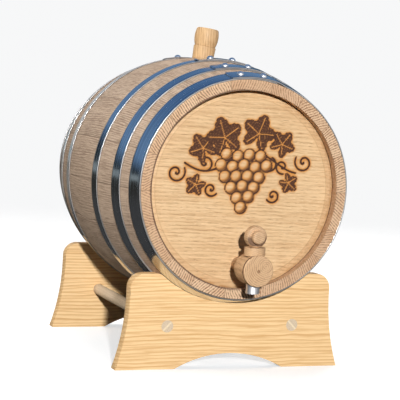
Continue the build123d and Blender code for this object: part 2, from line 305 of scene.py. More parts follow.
def stave_finish():
    """Sanded oak left bare: silvered outside, fresh and lined on the sawn ends, and brown from
    moisture and toasting inside the chime. Painted shade darkens the inner edge of the chime
    mouth on one side, and the inside of the chime where it meets the head."""
    recipe = Recipe("bare_oak_staves")
    log = recipe.noted_place("log")
    place = recipe.noted_place("place")
    tone = recipe.noted("tone")
    across, along, depth = recipe.parts(place)
    half_width = recipe.noted("half_width")
    figure = grain(recipe, log, 0.0018, 1.7)
    patch = recipe.noise(recipe.times(log, (140, 22, 140)), 2.0).ramp(0.32, 0.66)
    dash = recipe.noise(recipe.times(log, (1000, 75, 1000)), 3.0, 0.62).ramp(0.46, 0.66)
    fleck = recipe.noise(recipe.times(log, (1500, 480, 1500)), 2.0).ramp(0.50, 0.70)
    joint = (half_width - abs(across)).ramp(0.0007, 0.0002)
    lines = figure["line"] * (0.22 + 0.72 * patch)
    sawn = grain(recipe, log, 0.0024, 0.9)
    broken = recipe.noise(recipe.times(place, (260, 260, 700)), 2.0).ramp(0.30, 0.62)
    blotches = recipe.noise(recipe.times(place, (70, 70, 70)), 2.0).ramp(0.42, 0.7)
    fresh = recipe.blend(blotches * 0.4, (0.80, 0.56, 0.35, 1), (0.62, 0.37, 0.20, 1))
    fresh = recipe.blend(sawn["line"] * (0.3 + 0.7 * broken), fresh, (0.21, 0.09, 0.045, 1))
    fresh = recipe.blend(fleck * 0.3, fresh, (0.40, 0.21, 0.11, 1))
    fresh = recipe.blend(tone * 0.42, fresh, (0.52, 0.29, 0.155, 1))
    fresh = recipe.blend(joint * 0.4, fresh, (0.16, 0.07, 0.03, 1))
    grey = recipe.blend(lines * 0.75 + figure["cloud"].ramp(0.35, 0.7) * 0.15,
                        (0.56, 0.425, 0.315, 1), (0.17, 0.11, 0.075, 1))
    grey = recipe.blend(dash * 0.62, grey, (0.20, 0.13, 0.09, 1))
    grey = recipe.blend(fleck * 0.42, grey, (0.24, 0.155, 0.105, 1))
    grey = recipe.blend(figure["rays"] * 0.45, grey, (0.64, 0.51, 0.40, 1))
    grey = recipe.blend(tone * 0.3, grey, (0.52, 0.37, 0.26, 1))
    grey = recipe.blend(joint * 0.3, grey, (0.10, 0.065, 0.045, 1))
    to_end = half_length - abs(along)
    outside = depth.ramp(0.0006, 0.0002) * to_end.ramp(0.0001, 0.0008)
    colour = recipe.blend(outside, fresh, grey)
    inside = (depth - chime_bevel).ramp(0.0055, 0.0066) * to_end.ramp(0.0001, 0.0012)
    soot = recipe.noise(recipe.times(place, (420, 160, 420)), 3.0)
    chime_inside_and_shade = recipe.blend(soot.ramp(0.3, 0.75), (0.58, 0.35, 0.20, 1), (0.76, 0.54, 0.36, 1))
    # Painted shade: the inside of the chime turns near black in the corner where it meets the head.
    deep = to_end.ramp(head_recess - 0.0014, head_recess + 0.0002)
    chime_inside_and_shade = recipe.blend(deep * 0.7, chime_inside_and_shade, (0.10, 0.04, 0.018, 1))
    colour = recipe.blend(inside, colour, chime_inside_and_shade)
    # Painted shade: a dark line along the inner edge of the chime mouth, on the left side only.
    painted_shade_side = recipe.parts(recipe.spot())[0].ramp(0.03, -0.03)
    corner = depth.ramp(0.0066, 0.0076) * to_end.ramp(0.0014, 0.0004) * painted_shade_side
    colour = recipe.blend(corner * 0.8, colour, (0.09, 0.04, 0.022, 1))
    rough = 0.62 + 0.16 * figure["cloud"] - 0.08 * figure["rays"]
    relief = lines * -0.6 + dash * -0.5 + fleck * -0.4 + figure["fibre"] * 0.35
    return recipe.surface(colour, rough, relief, 0.00025, specular=0.3)


stave_material = stave_finish()
stave_start = -stave_shares[0] / sum(stave_shares) * math.pi
staves = []
for stave_number, share in enumerate(stave_shares, 1):
    stave_width = share / sum(stave_shares) * math.tau
    stave = build_stave(stave_number, stave_start, stave_width)
    stave_start += stave_width
    stave.data.materials.append(stave_material)
    staves.append(stave)
    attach(stave, "barrel")
    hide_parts(f"stave_{stave_number:02d}")

# The bung hole: a tapered bore through the first stave, a little off its middle and leaning
bung_hole_radius = 0.0092
bung_taper = 0.05
bung_offset = 0.0022
bung_lean = math.radians(8)
cone_foot, cone_top = -0.016, 0.006


def turned_body(name, profile, steps, place):
    """A solid of revolution: a profile of (radius, height) pairs carried round the upright
    axis, then moved by a matrix."""
    turn = np.linspace(0, math.tau, steps, endpoint=False)
    radius, height = np.array(profile, float).T
    rings = np.stack([
        radius[:, None] * np.cos(turn), radius[:, None] * np.sin(turn), height[:, None] + 0 * turn
    ], -1)
    piece = loft(name, rings)
    piece.data.transform(place)
    return piece


def bore(piece, cutter):
    """Cuts the cutter's shape out of the piece and keeps the piece's own points' notes."""
    cut = piece.modifiers.new("bore", "BOOLEAN")
    cut.operation = "DIFFERENCE"
    cut.solver = "EXACT"
    cut.object = cutter
    bpy.context.view_layer.update()
    graph = bpy.context.evaluated_depsgraph_get()
    cut_mesh = bpy.data.meshes.new_from_object(piece.evaluated_get(graph), depsgraph=graph)
    piece.modifiers.clear()
    piece.data = cut_mesh
    bpy.data.objects.remove(cutter)
    return piece


bung_height = axis_z + math.sqrt(bilge_radius**2 - bung_offset**2)
bung_place = Matrix.Translation((bung_offset, mid_y, bung_height)) @ Matrix.Rotation(
    bung_lean, 4, "Y"
)
hole_cone = turned_body(
    "hole_cone",
    [(bung_hole_radius + bung_taper * h, h) for h in (cone_foot, cone_top)],
    64,
    bung_place,
)
bore(staves[0], hole_cone)

# ---------------------------------------------------------------- heads
# Each head is a round panel of three planed oak boards, its edge bevelled to a tongue that
# is sprung into the croze. A vine is burnt into the front one, and its lowest board is bored
# for the tap.
head_edge = 0.0042
head_bevel_width = 0.007
head_neck = float(surface_radius(croze_mid + head_edge / 2 + 0.0001, -stave_thickness)) - 0.0003
head_flat = float(surface_radius(croze_mid, -stave_thickness)) - head_bevel_width
head_rim = float(surface_radius(croze_mid, -stave_thickness)) + croze_depth - 0.00015
board_gap = 0.00002
board_ease = 0.00022
board_ease_width = 0.0007
burn_depth = 0.0003


def panel_side(radius):
    """How far a head's face stands back from its flat: nothing, then the bevel's slope."""
    fall = (head_thickness - head_edge) / 2
    share = np.clip((radius - head_flat) / (head_neck - head_flat), 0, 1)
    return fall * share


def curl(x0, z0, turn0, size, turns, side):
    """A tendril: a spiral whose reach grows with the angle, starting at a point."""
    share = np.linspace(0, 1, 90)
    angle = turn0 + side * share * turns * math.tau
    reach = size * (1 - share) ** 0.8
    x = x0 + size * math.cos(turn0 + math.pi) + reach * -np.cos(angle + math.pi)
    z = z0 + size * math.sin(turn0 + math.pi) + reach * -np.sin(angle + math.pi)
    return np.stack([x, z], -1)


def stroke(x, z, line, width):
    """1 within a width of a line of points, tapering to nothing just outside it."""
    near = np.full(x.shape, 1.0)
    for first in range(0, len(line), 12):
        part = line[first:first + 13]
        gaps = np.hypot(x[..., None] - part[:, 0], z[..., None] - part[:, 1])
        near = np.minimum(near, gaps.min(-1))
    return np.clip(1.5 - near / width, 0, 1)


def leaf(x, z, x0, z0, size, turn):
    """A vine leaf: five pointed lobes, as the reach in a direction swings with five times
    its angle, burnt dark with its veins and hatching left pale. Returns how deep each point
    is burnt, and what the leaf covers."""
    c, s = math.cos(turn), math.sin(turn)
    u = ((x - x0) * c + (z - z0) * s) / size
    v = (-(x - x0) * s + (z - z0) * c) / size
    angle = np.arctan2(v, u)
    reach = np.hypot(u, v)
    lobe = (angle + math.pi * 0.2) % (math.pi * 0.4) - math.pi * 0.2
    teeth = 0.05 * np.abs(np.sin(angle * 12.5))
    notch = 0.40 * np.exp(-np.square((np.abs(angle) - math.pi) / 0.26))
    edge = (0.97 - 0.36 * np.abs(lobe / 0.63) ** 1.25) * (1 - 0.04 * np.abs(angle)) + teeth - notch
    inside = np.clip((edge - reach) * size / 0.0004, 0, 1)
    vein = np.abs(np.sin(lobe)) * reach * size
    side_vein = np.abs(np.sin(reach * size / 0.00075 - np.abs(lobe) * 5))
    pale = np.clip(1.5 - vein / 0.00035, 0, 1) * (reach < edge * 0.85)
    fine = np.clip(1 - side_vein / 0.35, 0, 1) * (reach < edge * 0.9) * 0.45
    outline = np.clip(1.4 - np.abs(edge - reach) * size / 0.0007, 0, 1)
    shade = np.maximum(0.72 - np.maximum(pale * 0.66, fine), outline)
    return shade * inside, inside


def grape(x, z, x0, z0, size):
    """One berry: a dark outline, and a crescent of hatching away from the upper left."""
    reach = np.hypot(x - x0, z - z0)
    inside = np.clip((size - reach) / 0.0003, 0, 1)
    outline = np.clip(1.5 - np.abs(reach - size + 0.0004) / 0.0005, 0, 1)
    lit = np.hypot(x - x0 + size * 0.42, z - z0 - size * 0.42) / size
    shade = np.clip((lit - 0.72) / 0.55, 0, 1)
    hatch = 0.6 + 0.4 * np.sin((x - x0 + z - z0) / 0.00026)
    return np.maximum(outline, shade * hatch) * inside, inside


def vine(x, z):
    """The burnt decoration: a bunch of grapes under a spray of leaves, with a long stem and
    curling tendrils either side. Later shapes cover earlier ones."""
    burnt = np.zeros(x.shape)
    sweep = np.linspace(0, 1, 160)
    stems = [
        np.stack([-0.050 + 0.096 * sweep, 0.022 + 0.008 * np.sin(sweep * 7.4 - 2.9)], -1),
        curl(-0.050, 0.016, 0.5, 0.0080, 1.4, -1),
        curl(0.046, 0.027, 2.6, 0.0080, 1.4, 1),
        curl(0.025, 0.026, 1.2, 0.0065, 1.2, -1),
        curl(-0.031, 0.014, -1.3, 0.0065, 1.2, 1),
        curl(0.035, 0.013, -1.4, 0.0060, 1.2, -1),
        curl(-0.022, -0.004, -0.6, 0.0060, 1.3, -1),
        curl(0.022, -0.008, 3.7, 0.0060, 1.3, 1),
    ]
    for line in stems:
        burnt = np.maximum(burnt, stroke(x, z, line, 0.0007))
    leaves = [(-0.035, 0.032, 0.0135, 2.2), (0.033, 0.037, 0.0125, 0.9),
              (-0.017, 0.041, 0.0175, 1.9), (0.012, 0.045, 0.0165, 1.2),
              (-0.040, 0.003, 0.0100, 3.9), (0.040, 0.006, 0.0095, -0.7)]
    for x0, z0, size, turn in leaves:
        mark, inside = leaf(x, z, x0, z0, size, turn)
        burnt = burnt * (1 - inside) + mark
    for row, count in enumerate((4, 5, 4, 3, 2, 1)):
        for step in range(count):
            x0 = (step - (count - 1) / 2) * 0.0098 + 0.0008 * math.sin(row * 2.1)
            z0 = 0.027 - row * 0.0084 + 0.0008 * math.cos(step * 2.7 + row)
            mark, inside = grape(x, z, x0, z0, 0.0056)
            burnt = burnt * (1 - inside) + mark
    return burnt


def toasted(x, z):
    """The brown halo round every burnt line: the decoration averaged over two small circles
    round each point."""
    halo = np.zeros(x.shape)
    for reach, share in ((0.0011, 0.09), (0.0024, 0.06)):
        for step in range(6):
            a = step * math.tau / 6 + reach * 500
            halo += share * vine(x + reach * math.cos(a), z + reach * math.sin(a))
    return halo


def build_board(name, low_z, high_z, side, step, decorated):
    """One board of a head. Its face is a grid whose rows are chords of the round panel,
    folded over the bevel, with the same grid behind it and the tongue's edge between."""
    rows = np.linspace(low_z + board_gap, high_z - board_gap,
                       max(3, int((high_z - low_z) / step)))
    lowest_board = abs(low_z) >= head_rim * 0.999
    highest_board = abs(high_z) >= head_rim * 0.999
    if lowest_board:
        rows[0] = low_z + 0.0002
    if highest_board:
        rows[-1] = high_z - 0.0002
    share = np.sin(np.linspace(-0.5, 0.5, int(2 * head_rim / step)) * math.pi * 0.98)
    share = share / share[-1]
    z = rows[:, None] + 0 * share
    x = share * np.sqrt(np.maximum(head_rim**2 - z**2, 0))
    back = panel_side(np.hypot(x, z))
    edge = np.minimum(z - low_z, high_z - z)
    if lowest_board:
        edge = high_z - z
    if highest_board:
        edge = z - low_z
    ease = board_ease * np.square(np.clip(1 - edge / board_ease_width, 0, 1))
    burnt = vine(x, z) if decorated else 0 * x
    halo = toasted(x, z) if decorated else 0 * x
    front = back + ease + burn_depth * burnt
    behind = head_thickness - back - ease
    first = np.stack([x, front, z], -1)
    second = np.stack([x, behind, z], -1)[:, ::-1]
    rings = np.concatenate([first, second], 1)
    face_y = mid_y - side * (half_length - head_recess)
    rings[..., 1] = face_y + side * rings[..., 1]
    rings[..., 2] += axis_z
    if side < 0:
        rings = rings[:, ::-1]
    piece = smooth(loft(name, rings), 40)
    if decorated:
        note(piece, "burnt", np.concatenate([burnt, 0 * burnt], 1).ravel())
        note(piece, "halo", np.concatenate([halo, 0 * halo], 1).ravel())
    return piece


def head_finish(name, decorated):
    """Planed oak, golden, its figure running along the boards, stained brown round the edge.
    The front head has the vine burnt in it, with a brown halo and a breath of smoke."""
    recipe = Recipe(name)
    spot = recipe.spot()
    x, y, z = recipe.parts(spot)
    level = z - axis_z
    lift = level.ramp(middle_high.z - axis_z - 0.00002, middle_high.z - axis_z + 0.00002)
    sink = level.ramp(middle_low.z - axis_z + 0.00002, middle_low.z - axis_z - 0.00002)
    shift = lift * 0.31 + sink * 0.57
    tilt = level * 0.97 + y * 0.3 + lift * 0.05
    log = recipe.join(tilt + shift + x * 0.03, x + shift * 3, y - level * 0.25)
    figure = grain(recipe, log, 0.0029, 1.5)
    wave = recipe.noise(recipe.times(log, (210, 17, 210)), 3.0, 0.6)
    dash = recipe.noise(recipe.times(log, (1150, 62, 400)), 2.0, 0.6)
    pale = recipe.blend(lift * 0.35 + sink * 0.15, (0.76, 0.52, 0.285, 1), (0.72, 0.48, 0.25, 1))
    colour = recipe.blend(figure["line"] * 0.22 + wave.ramp(0.42, 0.75) * 0.5, pale,
                          (0.53, 0.315, 0.145, 1))
    colour = recipe.blend(dash.ramp(0.50, 0.70) * 0.55, colour, (0.45, 0.25, 0.11, 1))
    colour = recipe.blend(figure["rays"] * 0.3, colour, (0.86, 0.65, 0.40, 1))
    colour = recipe.blend(figure["pores"] * 0.35, colour, (0.38, 0.21, 0.09, 1))
    reach = recipe.length(recipe.join(x, 0.0, level))
    rim = reach.ramp(head_neck - 0.0035, head_neck + 0.0002)
    blotches = recipe.noise(recipe.times(spot, (130, 130, 130)), 3.0)
    colour = recipe.blend(rim * (0.25 + 0.6 * blotches.ramp(0.4, 0.7)), colour, (0.50, 0.24, 0.08, 1))
    bevel_line = (reach - head_flat).ramp(0.0006, 0.0) * (head_flat - reach).ramp(0.0008, 0.0)
    colour = recipe.blend(bevel_line * 0.35, colour, (0.42, 0.24, 0.10, 1))
    rough = 0.52 + 0.14 * figure["cloud"]
    relief = figure["line"] * -0.35 + figure["pores"] * -1.0 + figure["fibre"] * 0.3
    if decorated:
        burnt = recipe.noted("burnt")
        near = recipe.noted("halo")
        far = recipe.length(recipe.join(x / 0.060, 0.0, (level - 0.016) / 0.046))
        smoke = recipe.noise(recipe.times(spot, (70, 70, 70)), 3.0).ramp(0.3, 0.75)
        colour = recipe.blend(far.ramp(1.1, 0.5) * smoke * 0.35, colour, (0.62, 0.34, 0.12, 1))
        colour = recipe.blend(near.ramp(0.0, 0.32) * 0.95, colour, (0.60, 0.245, 0.045, 1))
        edge = recipe.noise(recipe.times(spot, (900, 900, 900)), 2.0)
        colour = recipe.blend(burnt.ramp(0.10, 0.55), colour, (0.155, 0.055, 0.017, 1))
        dark = (burnt + edge * 0.5 - 0.25).ramp(0.40, 0.88)
        colour = recipe.blend(dark, colour, (0.045, 0.017, 0.009, 1))
        rough = rough + burnt * 0.25
    return recipe.surface(colour, rough, relief, 0.00016, specular=0.35)


def finish_node(node, material):
    """Gives a CAD piece that stays its finish."""
    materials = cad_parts[node].data.materials
    materials.clear()
    materials.append(material)


front_head_finish = head_finish("planed_oak_front_head", True)
rear_head_finish = head_finish("planed_oak_rear_head", False)
board_rows = {
    "top": (middle_high.z - axis_z, head_rim),
    "middle": (middle_low.z - axis_z, middle_high.z - axis_z),
    "bottom": (-head_rim, middle_low.z - axis_z),
}
for end, side, finish in (("front", 1, front_head_finish), ("rear", -1, rear_head_finish)):
    for row, (low_z, high_z) in board_rows.items():
        node = f"{end}_head_{row}_board"
        if node == "front_head_bottom_board":
            finish_node(node, finish)
            continue
        decorated = end == "front"
        board = build_board(f"{end}_head_{row}_panel", low_z, high_z, side,
                            0.0006 if decorated else 0.0014, decorated)
        board.data.materials.append(finish)
        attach(board, "barrel")
        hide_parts(node)

# ---------------------------------------------------------------- hoops
# Six stainless bands, each one strip bent round the barrel and driven towards the middle
# until tight. The strip's outer end climbs over its own start and is riveted down, so the
# lap stands one thickness proud at the top of the barrel.
hoop_thickness = 0.001
hoop_gap = 0.00005
lap_gap = 0.00001
lap_angle = math.radians(25)
lap_climb = math.radians(7)
end_taper = 0.003
hoop_edge = 0.00028


def build_hoop(name, near, far, lap_middle):
    """A band between two distances from mid-barrel. The strip is followed from under the lap
    all the way round and over itself; its section is a thin bar with rounded edges that
    leans with the stave surface."""
    whole = math.tau + lap_angle
    travel = np.concatenate([
        np.linspace(0, math.tau - lap_climb, 200),
        np.linspace(math.tau - lap_climb, math.tau, 24)[1:],
        np.linspace(math.tau, whole - 0.004, 30)[1:],
        [whole - 0.0025, whole - 0.0008, whole],
    ])
    climb = np.clip((travel - math.tau + lap_climb) / lap_climb, 0, 1)
    lift = (hoop_thickness + lap_gap) * climb * climb * (3 - 2 * climb)
    past = travel - whole + end_taper
    taper = np.where(past > 0, 1 - 0.25 * past / end_taper, 1)
    angle = lap_middle + lap_angle / 2 - travel
    corner = np.linspace(0, math.pi / 2, 5)
    half_width = (far - near) / 2
    mid = (near + far) / 2
    edge = half_width - hoop_edge
    top = hoop_thickness - hoop_edge
    centres = [(edge, top, 0), (-edge, top, 1), (-edge, hoop_edge, 2), (edge, hoop_edge, 3)]
    wide = np.concatenate([x + hoop_edge * np.cos(corner + k * math.pi / 2) for x, _, k in centres])
    tall = np.concatenate([t + hoop_edge * np.sin(corner + k * math.pi / 2) for _, t, k in centres])
    flat = np.linspace(-edge, edge, 9)[1:-1]
    wide = np.concatenate([wide[:5], flat[::-1], wide[5:15], flat, wide[15:]])[::-1]
    tall = np.concatenate([
        tall[:5], flat * 0 + hoop_thickness, tall[5:15], flat * 0, tall[15:]
    ])[::-1]
    along = mid + wide[None, :] * taper[:, None]
    radius = surface_radius(along, hoop_gap) + (tall[None, :] * taper[:, None] + lift[:, None])
    turn = angle[:, None] + 0 * along
    rings = np.stack([radius * np.sin(turn), mid_y + along, axis_z + radius * np.cos(turn)], -1)
    piece = smooth(loft(name, rings), 50)
    around = travel[:, None] * bilge_radius + 0 * along
    strip = np.stack([around, along + 0 * around, lift[:, None] + 0 * around], -1)
    note(piece, "strip", strip.reshape(-1, 3))
    rim = (np.abs(wide) > half_width - hoop_edge * 1.01).astype(float)
    note(piece, "rim", np.broadcast_to(rim, around.shape).ravel())
    return piece


def hoop_finish():
    """Bright rolled stainless: faint rolling lines along the strip, small scuffs, and a
    slight unevenness that bends what it mirrors."""
    recipe = Recipe("rolled_stainless_hoops")
    strip = recipe.noted_place("strip")
    lines = recipe.noise(recipe.times(strip, (14, 5200, 0)), 2.0)
    dents = recipe.noise(recipe.times(strip, (42, 60, 0)), 2.0)
    scuffs = recipe.noise(recipe.times(strip, (300, 900, 0)), 3.0, 0.7).ramp(0.60, 0.78)
    streaks = recipe.noise(recipe.times(strip, (9, 1100, 0)), 3.0, 0.6)
    colour = recipe.blend(streaks.ramp(0.35, 0.7), (0.54, 0.55, 0.57, 1), (0.80, 0.81, 0.82, 1))
    colour = recipe.blend(scuffs * 0.5, colour, (0.88, 0.89, 0.90, 1))
    colour = recipe.blend(dents.ramp(0.3, 0.8) * 0.2, colour, (0.48, 0.50, 0.54, 1))
    rim = recipe.noted("rim")
    colour = recipe.blend(rim * 0.85, colour, (0.40, 0.39, 0.38, 1))
    rough = 0.07 + 0.06 * lines + 0.16 * streaks.ramp(0.45, 0.7) + 0.2 * scuffs + 0.2 * rim
    relief = lines * 0.02 + streaks * 0.05 + dents * 0.9 + scuffs * 0.04
    return recipe.surface(colour, rough, relief, 0.0002, metallic=1.0)


def rivet_finish():
    """Drawn steel, bright, with a little hammering."""
    recipe = Recipe("bright_steel_rivets")
    spot = recipe.spot()
    dents = recipe.noise(recipe.times(spot, (900, 900, 900)), 2.0)
    grime = recipe.noise(recipe.times(spot, (2500, 2500, 2500)), 2.0).ramp(0.55, 0.8)
    colour = recipe.blend(grime * 0.3, (0.90, 0.89, 0.87, 1), (0.40, 0.39, 0.38, 1))
    return recipe.surface(colour, 0.34 + 0.16 * dents, dents, 0.0002, metallic=1.0)


hoop_material = hoop_finish()
rivet_material = rivet_finish()
for end in ("front", "rear"):
    for kind in ("head", "quarter", "bilge"):
        node = f"{end}_{kind}_hoop"
        hoop_low, hoop_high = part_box(node)
        rivets_low, rivets_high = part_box(f"{node}_rivets")
        lap_middle = math.asin((rivets_low.x + rivets_high.x) / 2 / (hoop_high.z - axis_z))
        hoop = build_hoop(f"{end}_{kind}_band", hoop_low.y - mid_y, hoop_high.y - mid_y, lap_middle)
        hoop.data.materials.append(hoop_material)
        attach(hoop, "barrel")
        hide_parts(node)
        finish_node(f"{node}_rivets", rivet_material)

# ---------------------------------------------------------------- bung
# A plug turned from a pale hardwood, its grain upright, pushed into the tapered hole in the
# top stave. The end grain shows on its flat top.
bung_low, bung_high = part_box("bung")
bung_y = (bung_low.y + bung_high.y) / 2


def turned_wood(name, pale, dark, pore, pith, ring_width, along, shine, marks):
    """A lathe-turned piece: growth rings about a pith line that runs along one of the axes,
    fine pores, the faint rings that the gouge leaves, and the piece's own marks."""
    recipe = Recipe(name)
    spot = recipe.spot()
    x, y, z = recipe.parts(spot)
    ways = {"z": (x, y, z), "y": (x, z, y)}
    first, second, lengthwise = ways[along]
    out = recipe.length(recipe.join(first - pith[0], second - pith[1], 0.0))
    log = recipe.join(out, lengthwise, second - first)
    figure = grain(recipe, log, ring_width, 0.8)
    patch = recipe.noise(recipe.times(log, (210, 60, 210)), 2.0).ramp(0.3, 0.7)
    dash = recipe.noise(recipe.times(log, (1300, 160, 1300)), 3.0, 0.6).ramp(0.48, 0.7)
    colour = recipe.blend(figure["line"] * (0.15 + 0.75 * patch), pale, dark)
    colour = recipe.blend(dash * 0.65, colour, dark)
    colour = recipe.blend(figure["pores"] * 0.5, colour, pore)
    gouge = recipe.noise(recipe.join(lengthwise * 1400, 0.0, 0.0), 1.0)
    relief = figure["pores"] * -0.8 + gouge * 0.35 + figure["fibre"] * 0.25
    rough = 0.50 + 0.15 * figure["cloud"]
    colour, rough = marks(recipe, spot, colour, rough)
    return recipe.surface(colour, rough, relief, 0.00015, specular=0.35, coat=shine)


def bung_marks(recipe, spot, colour, rough):
    """The foot is darker, up to an uneven line just above the stave."""
    height = recipe.parts(spot)[2] - (axis_z + bilge_radius)
    blotches = recipe.noise(recipe.times(spot, (300, 300, 300)), 2.0)
    foot = (height + blotches * 0.003).ramp(0.0045, -0.001)
    colour = recipe.blend(foot * 0.6, colour, (0.36, 0.17, 0.07, 1))
    return colour, rough


bung_material = turned_wood(
    "turned_bung_wood", (0.67, 0.445, 0.235, 1), (0.48, 0.275, 0.12, 1), (0.32, 0.16, 0.065, 1),
    (0.035, bung_y - 0.02), 0.0022, "z", 0.05, bung_marks,
)
finish_node("bung", bung_material)

# ---------------------------------------------------------------- tap
# A turned wooden tap driven into the lower head board. A line is burnt round its front while
# it spins, and the lathe's centre leaves a small hole, shown by a spot of painted shade. Its
# handle is a turned key with a crossbar, glued to a hollow steel core that runs in a cork
# sleeve and ends as the spout.
tap_low, tap_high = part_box("tap_body")
core_low, core_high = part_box("tap_key_core")
tap_z = (tap_low.z + tap_high.z) / 2
key_y = (core_low.y + core_high.y) / 2
burnt_line_y = tap_low.y + 0.0022
collar_over_core = 0.0021
collar_top = core_high.z + collar_over_core
bar_over_collar = 0.0083
bar_z = collar_top + bar_over_collar
bead_half_width = 0.004


def tap_marks(recipe, spot, colour, rough):
    """The burnt line round the front, and a spot of painted shade where the lathe's centre was."""
    x, y, z = recipe.parts(spot)
    line = abs(y - burnt_line_y).ramp(0.00105, 0.0005)
    colour = recipe.blend(line, colour, (0.045, 0.02, 0.014, 1))
    # Painted shade: a dark spot in the middle of the front face stands for the lathe's centre pit.
    centre = recipe.length(recipe.join(x, 0.0, z - tap_z))
    front = y.ramp(tap_low.y + 0.0012, tap_low.y + 0.0004)
    centre_shade = centre.ramp(0.0017, 0.0009) * front
    colour = recipe.blend(centre_shade * 0.7, colour, (0.17, 0.075, 0.03, 1))
    return colour, rough + line * 0.2


def key_marks(recipe, spot, colour, rough):
    """Grime where fingers turn the bar, painted shade in the corners below its bead, and a collar
    that is a little redder than the bar."""
    x, y, z = recipe.parts(spot)
    patch = recipe.noise(recipe.times(spot, (240, 240, 240)), 3.0).ramp(0.45, 0.8)
    collar = z.ramp(collar_top + 0.0006, collar_top - 0.0006)
    # Painted shade: dark bands on the lower half of the crossbar, either side of its bead.
    bead_side = abs(abs(y - key_y) - bead_half_width)
    under = (z - bar_z).ramp(0.0015, -0.0015) * (z - bar_z).ramp(-0.0078, -0.0066)
    corner = bead_side.ramp(0.0011, 0.0003) * under
    colour = recipe.blend(patch * 0.3, colour, (0.36, 0.21, 0.11, 1))
    colour = recipe.blend(corner * 0.8, colour, (0.10, 0.045, 0.025, 1))
    colour = recipe.blend(collar * 0.25, colour, (0.70, 0.42, 0.20, 1))
    return colour, rough


tap_material = turned_wood(
    "turned_tap_wood", (0.66, 0.425, 0.235, 1), (0.40, 0.225, 0.11, 1), (0.22, 0.105, 0.05, 1),
    (0.006, tap_z + 0.004), 0.0016, "y", 0.08, tap_marks,
)
key_material = turned_wood(
    "turned_key_wood", (0.66, 0.43, 0.245, 1), (0.42, 0.245, 0.125, 1), (0.23, 0.11, 0.055, 1),
    (0.012, tap_z + 0.06), 0.0015, "y", 0.08, key_marks,
)


def cork_finish():
    """Agglomerated cork: pale crumbs with darker pits between."""
    recipe = Recipe("cork_sleeve")
    spot = recipe.spot()
    crumbs = recipe.noise(recipe.times(spot, (1200, 1200, 1200)), 3.0)
    colour = recipe.blend(crumbs.ramp(0.4, 0.65), (0.20, 0.10, 0.05, 1), (0.52, 0.33, 0.18, 1))
    return recipe.surface(colour, 0.8 + 0.1 * crumbs, crumbs, 0.0004)


def spout_finish():
    """Drawn stainless tube with fine lines along it."""
    recipe = Recipe("drawn_stainless_tube")
    spot = recipe.spot()
    drawn = recipe.noise(recipe.times(spot, (3500, 3500, 60)), 2.0)
    wet = recipe.noise(recipe.times(spot, (400, 400, 400)), 2.0).ramp(0.5, 0.7)
    colour = recipe.blend(wet * 0.25, (0.74, 0.74, 0.75, 1), (0.48, 0.49, 0.50, 1))
    return recipe.surface(colour, 0.40 + 0.16 * drawn, drawn, 0.00004, metallic=1.0)


for node, material in {
    "tap_body": tap_material, "tap_key_handle": key_material,
    "tap_cork_liner": cork_finish(), "tap_key_core": spout_finish(),
}.items():
    finish_node(node, material)

# ---------------------------------------------------------------- cradle
# Two shaped pine boards, sawn to the barrel's curve and arched below into two feet, joined
# by two round stretchers that pass right through them, each end slit and spread by a wedge.
board_edge = 0.0009


def ease_edges(piece, width):
    """Takes the sharp corners off a CAD piece, as sandpaper does."""
    weld = piece.modifiers.new("weld", "WELD")
    weld.merge_threshold = 0.00001
    ease = piece.modifiers.new("ease", "BEVEL")
    ease.width = width
    ease.segments = 3
    ease.limit_method = "ANGLE"
    ease.angle_limit = math.radians(40)


def pine_finish():
    """Planed pine, clear: broad wavy rings along the board, each ending in a golden line of
    latewood, with finer streaks and fibres between."""
    recipe = Recipe("planed_pine_cradle")
    spot = recipe.spot()
    x, y, z = recipe.parts(spot)
    rear = y.ramp(mid_y - 0.01, mid_y + 0.01)
    sway = recipe.noise(recipe.join(x * 7 + rear * 7, y * 9, z * 26), 2.0) - 0.5
    fine = recipe.noise(recipe.join(x * 42, y * 60, z * 160 + rear * 5), 2.0) - 0.5
    height = z + sway * 0.012 + fine * 0.0018 + rear * 0.4 + y * 0.22
    spread = recipe.noise(recipe.join(rear * 9, 0.0, z * 38), 2.0)
    rings = (height + spread * 0.014) / 0.0031
    phase = rings.fraction()
    which = recipe.noise(recipe.join(0.0, 3.0, (rings - phase) * 3.7), 0.0)
    late = phase.ramp(0.45, 0.88) * phase.ramp(1.0, 0.92) * (0.15 + 0.95 * which)
    fibre = recipe.noise(recipe.join(x * 22, y * 1200, z * 2300), 3.0)
    streak = recipe.noise(recipe.join(x * 26, y * 60, z * 620), 3.0, 0.62).ramp(0.44, 0.66)
    colour = recipe.blend(late * 0.85, (0.89, 0.61, 0.31, 1), (0.56, 0.27, 0.08, 1))
    colour = recipe.blend(streak * 0.5, colour, (0.62, 0.34, 0.12, 1))
    colour = recipe.blend(fibre.ramp(0.5, 0.8) * 0.25, colour, (0.52, 0.28, 0.11, 1))
    rough = 0.50 + 0.12 * fibre
    relief = late * 0.4 + fibre * 0.5
    return recipe.surface(colour, rough, relief, 0.00018, specular=0.35, coat=0.06)


def dowel_finish(name, pale, dark):
    """Ramin: plain straight grain along Y, with darker flecks on its cut ends."""
    recipe = Recipe(name)
    spot = recipe.spot()
    fibre = recipe.noise(recipe.times(spot, (2100, 45, 2100)), 3.0)
    flecks = recipe.noise(recipe.times(spot, (1300, 500, 1300)), 2.0).ramp(0.55, 0.72)
    colour = recipe.blend(fibre.ramp(0.35, 0.75) * 0.6, pale, dark)
    colour = recipe.blend(flecks * 0.45, colour, (0.30, 0.19, 0.11, 1))
    return recipe.surface(colour, 0.6 + 0.15 * fibre, fibre, 0.00012, specular=0.3)


pine_material = pine_finish()
dowel_material = dowel_finish("ramin_dowel", (0.68, 0.54, 0.38, 1), (0.52, 0.38, 0.25, 1))
wedge_material = dowel_finish("pale_wedge", (0.82, 0.68, 0.47, 1), (0.70, 0.53, 0.33, 1))
for node, material in {
    "cradle_front_board": pine_material, "cradle_rear_board": pine_material,
    "left_stretcher": dowel_material, "right_stretcher": dowel_material,
    "stretcher_wedges": wedge_material,
}.items():
    finish_node(node, material)
for node in ("cradle_front_board", "cradle_rear_board"):
    ease_edges(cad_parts[node], board_edge)

